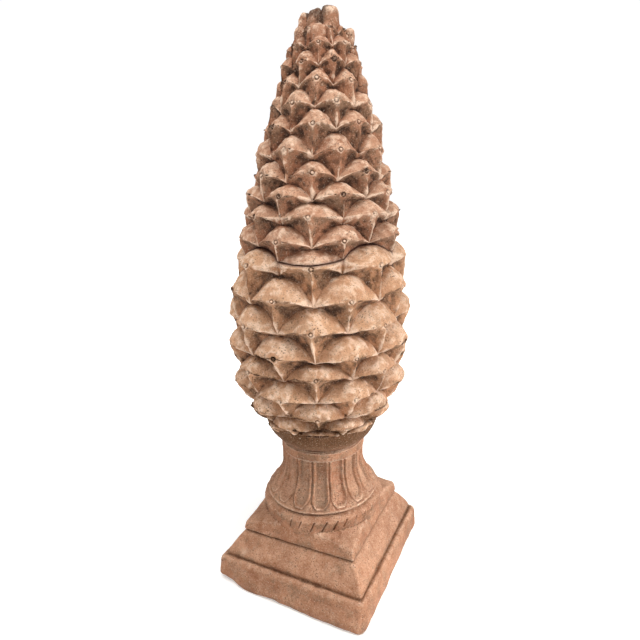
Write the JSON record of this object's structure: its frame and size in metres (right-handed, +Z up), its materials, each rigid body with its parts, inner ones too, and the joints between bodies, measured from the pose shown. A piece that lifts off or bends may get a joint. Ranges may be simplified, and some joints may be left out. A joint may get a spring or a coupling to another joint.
{
  "type": "pinecone finial",
  "caption": "Tall terracotta pine cone finial on a leaf-fluted foot and square stepped plinth, in two stacked sections.",
  "frame": {"origin": "middle of the plinth's underside", "axes": "+Z up the cone, X and Y along the sides of the square plinth, -Y the side that the picture shows more of"},
  "size_m": [0.4237, 0.4289, 1.324],
  "materials": {
    "lower_terracotta": "weathered matte",
    "upper_terracotta": "weathered matte"
  },
  "bodies": {
    "root": {"lower_part": "lower_terracotta", "upper_part": "upper_terracotta"}
  },
  "joints": []
}
